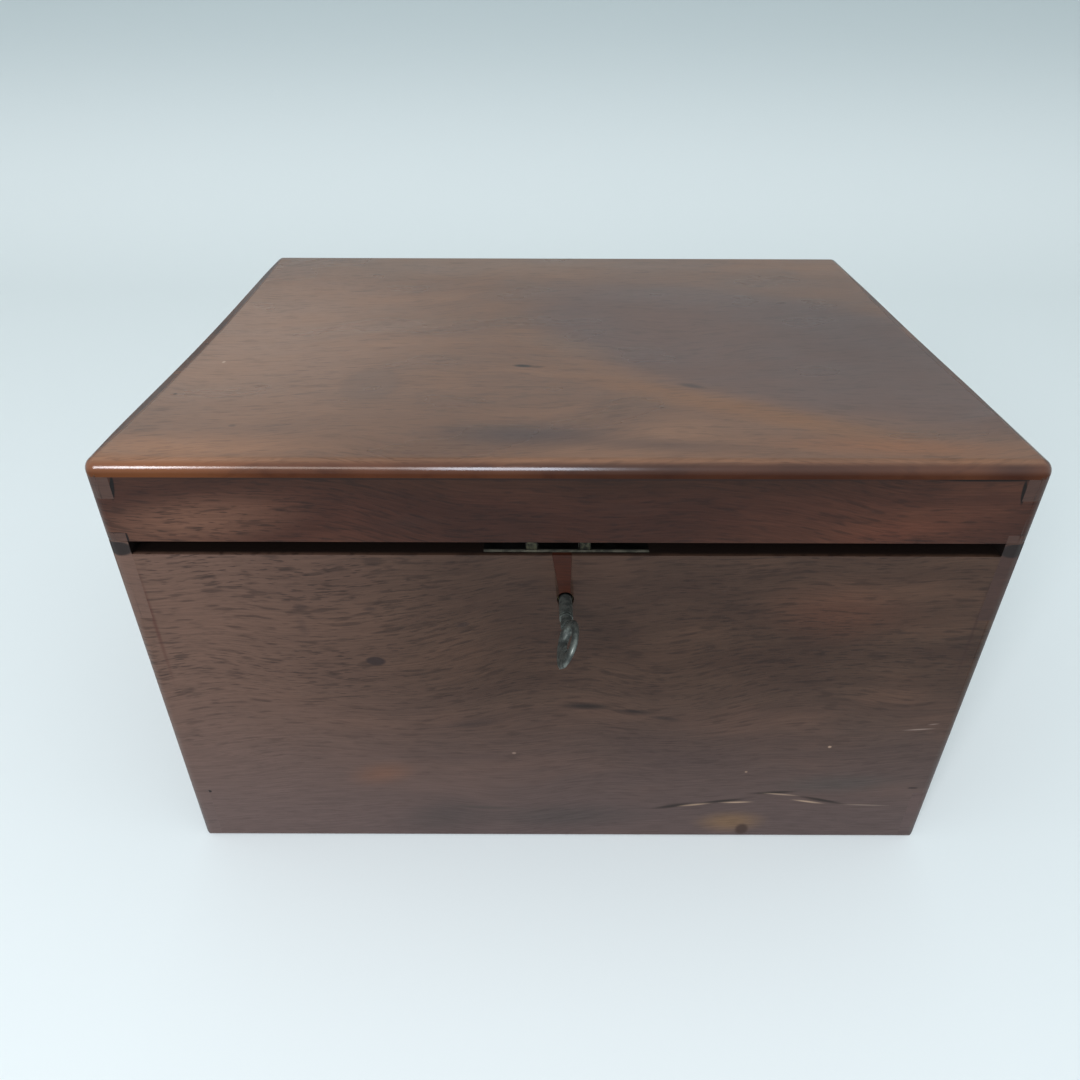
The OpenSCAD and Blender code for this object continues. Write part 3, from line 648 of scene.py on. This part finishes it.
# %% Bleached upper face
mahogany_top, tree = new_material("faded_waxed_mahogany_top")
grain = wood_grain(tree, "flat", lean=0.05, wander=7.0, seed=3.0)
colour = board_tone(tree, grain, "#704f3c", "#7a5742", "#856049")
colour = lay_marks(tree, grain, colour, TOP_PATCHES)
colour = draw_grain(tree, grain, colour, pore="#3c2a22", pore_share=0.36, contrast=0.09)
colour = lay_marks(tree, grain, colour, TOP_MARKS)
print("the top so far has", len(tree.nodes), "nodes")

# %% [markdown]
# The rounded edge is found by its distance from the middle of the board, whichever side it is
# on. Its lower half is painted darker, as shade under the rounding, and has lost its shine,
# since fingers seldom reach it.

# %% Rounded edge, underside and wax of the top
# In mm: how far from the middle the rounding starts and is full, and its lower half's heights.
ROUNDED_SIDE, ROUNDED_FRONT = (136.0, 137.8), (106.1, 107.8)
LOWER_HALF = (164.3, 162.2)
to_side, to_front = [
    add(tree, "Math", {"operation": "ABSOLUTE"}, {0: grain[name]}).outputs[0]
    for name in ("run", "over")
]
at_side = fade(tree, (to_side, *ROUNDED_SIDE))
at_front = fade(tree, (to_front, *ROUNDED_FRONT))
rounded = add(tree, "Math", {"operation": "MAXIMUM"}, {0: at_side, 1: at_front}).outputs[0]
edge_tone = add(
    tree,
    "ValToRGB",
    None,
    {"Fac": grain["cloud"]},
    [(0.36, "#47281a"), (0.5, "#5a3421"), (0.64, "#6b4129")],
).outputs[0]
edge_colour = stain(tree, edge_tone, "#3c2015", (grain["figure"], 0.5, 0.66, 0, 0.45))
edge_colour = lay_marks(tree, grain, edge_colour, EDGE_MARKS)
# Painted shade: the lower half of the rounded edge is darkened.
edge_colour = stain(tree, edge_colour, "#26140e", (grain["deep"], *LOWER_HALF, 0, 0.45))
colour = add(
    tree,
    "Mix",
    {"data_type": "RGBA", "blend_type": "MIX"},
    {0: rounded, 6: colour, 7: edge_colour},
).outputs[2]
facing = add(tree, "SeparateXYZ", None, {"Vector": add(tree, "TexCoord").outputs["Normal"]})
colour = stain(tree, colour, "#52382b", (facing.outputs["Z"], -0.3, -0.7, 0, 0.7))
gloss = fade(tree, (rounded, 0, 1, 0.3, 0.16))
edge_shine = fade(tree, (grain["deep"], *LOWER_HALF, 0.5, 0.03))
shine = fade(tree, (rounded, 0, 1, 0.36, edge_shine))
waxed(mahogany_top, tree, grain, colour, gloss, specular=shine, relief=0.08)

# %% [markdown]
# ## Brass and iron
#
# The lock's selvedge is brass filed flat, and the links are cast brass, very dark. Neither
# has been polished for years, so the eye sees a grey-olive film with paler places and a soft
# gleam. The key is forged iron, grey with darker spots, and the brads and pins are dark drawn
# iron. A metal's colour sits in its reflection, but a film is an oxide and no metal, so a filmed
# metal is 0.6 to 0.8 metallic, and only the drawn iron is fully so. The film grows in spots of
# 1.6 to 5 mm, with pits a quarter of that. A painted shade, nearly black, lies where the lid's
# shadow falls in the gap and on the key inside its hole. Its two numbers are how far back and
# how high up it starts, in mm.

# %% Tarnished metal
SHADE_BLACK = "#0b0b09"


def old_metal(name, worn, film, grit_mm, rough, metal=1.0, painted_shade_from=None):
    """A metal under a film in spots of grit_mm. A painted shade starts at a depth and a height in
    mm.
    """
    material, tree = new_material(name)
    place = add(tree, "TexCoord").outputs["Object"]
    spots, pits = [
        add(
            tree,
            "TexNoise",
            None,
            {"Vector": place, "Scale": per_spot / (grit_mm * MM), "Detail": detail},
        ).outputs[0]
        for per_spot, detail in ((1, 5.0), (4, 2.0))
    ]
    colour = stain(tree, worn, film, (spots, 0.4, 0.62))
    if painted_shade_from is not None:
        split = add(tree, "SeparateXYZ", None, {"Vector": place}).outputs
        depth, height = [value * MM for value in painted_shade_from]
        behind = (split["Y"], depth - 0.6 * MM, depth + 0.6 * MM)
        above = (split["Z"], height - 0.3 * MM, height + 0.3 * MM)
        colour = stain(tree, colour, SHADE_BLACK, behind, above)
    sheen = fade(tree, (spots, 0.35, 0.65, rough - 0.1, rough + 0.15))
    bump = add(
        tree, "Bump", None, {"Strength": 0.3, "Distance": 0.05 * MM, "Height": pits}
    ).outputs[0]
    shader = add(
        tree,
        "BsdfPrincipled",
        None,
        {"Base Color": colour, "Metallic": metal, "Roughness": sheen, "Normal": bump},
    ).outputs[0]
    add(tree, "OutputMaterial", None, {"Surface": shader})
    print(name, "has", len(tree.nodes), "nodes")
    return material


# %% Brass and iron pieces
aged_brass = old_metal("tarnished_brass", "#857a55", "#55503c", 5.0, 0.5, 0.7)
dark_brass_links = old_metal("dark_cast_brass", "#474636", "#1b1b15", 1.6, 0.55, 0.6)
selvedge_brass = old_metal(
    "filed_brass_selvedge", "#a19d8c", "#67665c", 5.0, 0.5, 0.7, (-105.4, 133.4)
)
dark_iron = old_metal("drawn_dark_iron", "#5a5552", "#3a3634", 4.0, 0.5)
key_iron = old_metal("forged_key_iron", "#6c706b", "#454845", 2.2, 0.5, 0.8, (-108.8, 100))

# %% [markdown]
# ## A material for every node
#
# Each CAD node names a slot, and a slot stands for one finish. Five nodes differ from the rest
# of their slot: the back board and the lid's front and back rails have the rails' redder wood,
# and the two brass pieces that show in the gap have brass of their own.

# %% Materials onto the CAD nodes
slot_material = {
    "mahogany": mahogany_front,
    "mahogany_side": mahogany_side,
    "mahogany_top": mahogany_top,
    "red_slip": red_slip,
    "pine": old_pine,
    "aged_brass": aged_brass,
    "dark_iron": dark_iron,
    "key_iron": key_iron,
}
node_material = {
    "back_panel": mahogany_rail,
    "lid_front_rail": mahogany_rail,
    "lid_back_rail": mahogany_rail,
    "link_hooks": dark_brass_links,
    "lock_plate": selvedge_brass,
}
for part in frame["record"]["subparts"]:
    cad_node = frame["nodes"][part["node"]]
    finish = node_material.get(part["node"], slot_material[part["material_slot"]])
    cad_node.data.materials.clear()
    cad_node.data.materials.append(finish)
print("materials:", len(bpy.data.materials))

# %% [markdown]
# ## The boards
#
# Each board takes its outline from the CAD solid, so the dovetails still meet, and then gets
# what a hundred years of handling give it: every outside edge rubbed round by a few tenths of a
# millimetre. A bevel does that evenly and catches the light along each edge, and a dark line
# stays where two rounded boards meet, as it does at the real joints.

# %% One worn board
SAME_POINT_MM = 0.002
# Below the first angle two faces are one flat face, and above the second their edge is worn.
FLAT_DEGREES, SHARP_DEGREES = 0.5, 30
# How squarely a face has to look along the board to be its end.
END_FACING = 0.7


def body_of_node(name):
    """The moving body that carries a CAD node."""
    return frame["nodes"][name]["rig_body"]


def worn_board(node, name, wear_mm, slot, end_axis):
    """A copy of a CAD board with rubbed edges; faces square to end_axis get end grain."""
    mesh = bmesh.new()
    mesh.from_mesh(frame["nodes"][node].data)
    bmesh.ops.remove_doubles(mesh, verts=mesh.verts, dist=SAME_POINT_MM * MM)
    bmesh.ops.dissolve_limit(
        mesh, angle_limit=math.radians(FLAT_DEGREES), verts=mesh.verts, edges=mesh.edges
    )
    sharp = [
        edge
        for edge in mesh.edges
        if len(edge.link_faces) == 2
        and edge.calc_face_angle(0) > math.radians(SHARP_DEGREES)
        and edge.calc_length() > 2 * wear_mm * MM
    ]
    bmesh.ops.bevel(
        mesh,
        geom=sharp,
        offset=wear_mm * MM,
        segments=2,
        profile=0.5,
        affect="EDGES",
        clamp_overlap=True,
    )
    bmesh.ops.triangulate(mesh, faces=[f for f in mesh.faces if len(f.verts) > 4])
    for face in mesh.faces:
        face.smooth = True
        if end_axis is not None and abs(face.normal[end_axis]) > END_FACING:
            face.material_index = 1
    data = bpy.data.meshes.new(name)
    mesh.to_mesh(data)
    mesh.free()
    board = bpy.data.objects.new(name, data)
    bpy.context.scene.collection.objects.link(board)
    board.modifiers.new("flat faces stay flat", "WEIGHTED_NORMAL").keep_sharp = True
    data.materials.append(node_material.get(node, slot_material[slot]))
    if end_axis is not None:
        data.materials.append(mahogany_end)
    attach(board, body_of_node(node))
    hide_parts(node)
    return board


print("edges sharper than", SHARP_DEGREES, "degrees are worn round")

# %% [markdown]
# Each board is given as its name, how many millimetres of its edges are worn, its slot, and the
# axis its ends face: 0 is to the side, 1 is to the back, and a board without one shows no end
# grain. The case is handled most, and the small slip hardly at all.

# %% All the boards
boards = {
    "front_panel": ("front_board", 0.35, "mahogany", 0),
    "back_panel": ("back_board", 0.35, "mahogany", 0),
    "left_side": ("left_board", 0.35, "mahogany_side", 1),
    "right_side": ("right_board", 0.35, "mahogany_side", 1),
    "bottom_board": ("floor_board", 0.3, "pine", None),
    "lid_front_rail": ("lid_front_board", 0.3, "mahogany", 0),
    "lid_back_rail": ("lid_back_board", 0.3, "mahogany", 0),
    "lid_left_rail": ("lid_left_board", 0.3, "mahogany_side", 1),
    "lid_right_rail": ("lid_right_board", 0.3, "mahogany_side", 1),
    "lid_top": ("lid_top_board", 0.3, "mahogany_top", None),
    "keyhole_slip": ("keyhole_let_in_slip", 0.15, "red_slip", None),
}
for node, (name, wear_mm, slot, end_axis) in boards.items():
    board = worn_board(node, name, wear_mm, slot, end_axis)
    print(name, len(board.data.vertices), "vertices")

# %% [markdown]
# ## The key
#
# A key of this kind is filed by hand out of one forging. The CAD key has a bow of even round
# wire; the real one has a leaf shape, broad and flat on one side and thin on the other, so that
# the opening in it shows only as a dark curved slit. The barrel, neck and bit keep the CAD
# shape, and the bow is drawn again inside the CAD outline.

# %% Shape of the bow
# In mm, but for the lean: where the key lies, the ring it is filed from, and where it is cut.
KEY_HEIGHT, KEY_LEAN = 117.5, math.radians(24)
BOW_MIDDLE, BOW_REACH, BOW_STRETCH = -130.4, 7.0, 1.1
NECK_CUT = -122.6
# How broad and how thick the ring is, how much each changes round it, and its file marks.
BOW_BROAD, BROAD_CHANGE = 2.45, 0.95
BOW_THICK, THICK_CHANGE = 1.05, 0.6
FILED_SHARE, FILED_PLACES = 0.09, 3
ROUND_BOW, ROUND_WIRE = 72, 20


def bow_point(around, section):
    """A point of the bow's skin: around runs along the ring, section round its thickness."""
    broad = BOW_BROAD - BROAD_CHANGE * math.cos(around)
    thick = BOW_THICK + THICK_CHANGE * max(0.0, math.sin(around)) ** 2
    ring_place = (FILED_PLACES * math.cos(around), FILED_PLACES * math.sin(around), section)
    dent = 1 - FILED_SHARE * (1 + noise.noise(Vector(ring_place)))
    reach = BOW_REACH - broad + broad * dent * math.cos(section)
    side = thick * dent * math.sin(section)
    lift = reach * math.cos(around)
    forth = max(-1.0, min(1.0, 2 * math.sin(around))) * BOW_STRETCH + reach * math.sin(around)
    return Vector(
        (
            side * math.cos(KEY_LEAN) + lift * math.sin(KEY_LEAN),
            BOW_MIDDLE + forth,
            KEY_HEIGHT - side * math.sin(KEY_LEAN) + lift * math.cos(KEY_LEAN),
        )
    )


print("the bow has", ROUND_BOW * ROUND_WIRE, "points")

# %% [markdown]
# The CAD key is cut off at its neck and closed with a flat face. The new bow is then drawn as
# rings of points, each joined to the next, and reaches a little past the cut, so no gap shows.

# %% Key with a filed bow
KEY_SHARP_DEGREES = 35
key_mesh = bmesh.new()
key_mesh.from_mesh(frame["nodes"]["key"].data)
bmesh.ops.remove_doubles(key_mesh, verts=key_mesh.verts, dist=SAME_POINT_MM * MM)
cut = bmesh.ops.bisect_plane(
    key_mesh,
    geom=key_mesh.verts[:] + key_mesh.edges[:] + key_mesh.faces[:],
    plane_co=(0, NECK_CUT * MM, 0),
    plane_no=(0, -1, 0),
    clear_outer=True,
)
rim = [part for part in cut["geom_cut"] if isinstance(part, bmesh.types.BMEdge)]
bmesh.ops.edgenet_fill(key_mesh, edges=rim)
key_sharp = math.radians(KEY_SHARP_DEGREES)
for edge in key_mesh.edges:
    edge.smooth = len(edge.link_faces) != 2 or edge.calc_face_angle(0) < key_sharp
rings = []
for step in range(ROUND_BOW):
    around = 2 * math.pi * step / ROUND_BOW
    sections = [2 * math.pi * turn / ROUND_WIRE for turn in range(ROUND_WIRE)]
    rings.append([key_mesh.verts.new(bow_point(around, section) * MM) for section in sections])
for near, far in zip(rings, rings[1:] + rings[:1]):
    for turn in range(ROUND_WIRE):
        after = (turn + 1) % ROUND_WIRE
        key_mesh.faces.new((near[turn], near[after], far[after], far[turn]))
bmesh.ops.recalc_face_normals(key_mesh, faces=key_mesh.faces)
for face in key_mesh.faces:
    face.smooth = True
key_data = bpy.data.meshes.new("filed_key")
key_mesh.to_mesh(key_data)
key_mesh.free()
key_data.materials.append(key_iron)
filed_key = bpy.data.objects.new("filed_key", key_data)
bpy.context.scene.collection.objects.link(filed_key)
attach(filed_key, "key")
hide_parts("key")
print("filed_key", len(key_data.vertices), "vertices")

# %% [markdown]
# ## Studio
#
# The box stands on a sheet of matt pale paper that sweeps up into the wall behind it. One sheet
# with a curve in it leaves no line where floor and wall meet. It is a little darker up the wall,
# where less light falls on it.

# %% Paper sweep
# In metres: how far the sheet runs, where its curve starts and how wide it is. The curve is
# drawn in steps of a sixteenth of a half turn.
PAPER_REACH, CURVE_START, CURVE_RADIUS = 3.0, 0.6, 0.6
CURVE_STEPS, CURVE_ANGLE = 8, 0.1963

pale_paper, tree = new_material("pale_paper")
height = add(
    tree, "SeparateXYZ", None, {"Vector": add(tree, "TexCoord").outputs["Object"]}
).outputs["Z"]
tint = stain(tree, "#ebefee", "#bcc5c6", (height, 0.0, 0.3))
matt = add(tree, "BsdfPrincipled", None, {"Base Color": tint, "Roughness": 0.9}).outputs[0]
add(tree, "OutputMaterial", None, {"Surface": matt})

profile = [(-PAPER_REACH, 0.0), (CURVE_START, 0.0)]
for step in range(1, CURVE_STEPS + 1):
    forth = CURVE_START + math.sin(step * CURVE_ANGLE) * CURVE_RADIUS
    up = CURVE_RADIUS - math.cos(step * CURVE_ANGLE) * CURVE_RADIUS
    profile.append((forth, up))
profile.append((CURVE_START + CURVE_RADIUS, PAPER_REACH))
sweep = bmesh.new()
rows = [[sweep.verts.new((x, y, z)) for x in (-PAPER_REACH, PAPER_REACH)] for y, z in profile]
for low, high in zip(rows, rows[1:]):
    sweep.faces.new((low[0], low[1], high[1], high[0])).smooth = True
sweep_data = bpy.data.meshes.new("paper_sweep")
sweep.to_mesh(sweep_data)
sweep.free()
sweep_data.materials.append(pale_paper)
paper_sweep = bpy.data.objects.new("paper_sweep", sweep_data)
bpy.context.scene.collection.objects.link(paper_sweep)
print("the paper has", len(sweep_data.polygons), "strips")

# %% [markdown]
# ### Windows and sky
#
# The light is soft and cool. The whole sky does most of the work, and low windows of light
# behind the camera draw the bright line along the lid's rounded edge, strong at its middle and
# its left corner and dim between them. Area lamps stand for the windows, because their shape is
# what the polished edge reflects.

# %% Windows and sky
# Place and target in metres, width and height in metres, watts, colour.
WINDOWS = {
    "middle_window": ((-0.07, -1.3, 0.77), (0, -0.1, 0.16), (0.27, 0.5), 7.5, "#e6f0ff"),
    "left_window": ((-0.8, -1.3, 0.85), (-0.13, -0.1, 0.16), (0.2, 0.42), 6.5, "#f6f7ff"),
    "dim_window": ((-0.5, -1.32, 0.88), (-0.1, -0.1, 0.16), (0.6, 0.35), 3, "#fff1e4"),
}
SKY_COLOUR, SKY_STRENGTH = "#e6f0f4", 0.9

for name, (place, target, size, power, light_colour) in WINDOWS.items():
    data = bpy.data.lights.new(name, "AREA")
    data.shape = "RECTANGLE"
    data.size, data.size_y = size
    data.energy = power
    data.color = linear(light_colour)[:3]
    lamp = bpy.data.objects.new(name, data)
    bpy.context.scene.collection.objects.link(lamp)
    lamp.location = place
    lamp.rotation_euler = (Vector(target) - Vector(place)).to_track_quat("-Z", "Y").to_euler()
    print(name, power, "W")
world = bpy.data.worlds.new("studio")
bpy.context.scene.world = world
world.use_nodes = True
sky = world.node_tree.nodes["Background"].inputs
sky["Color"].default_value = linear(SKY_COLOUR)
sky["Strength"].default_value = SKY_STRENGTH
bpy.context.scene.view_settings.view_transform = "Standard"
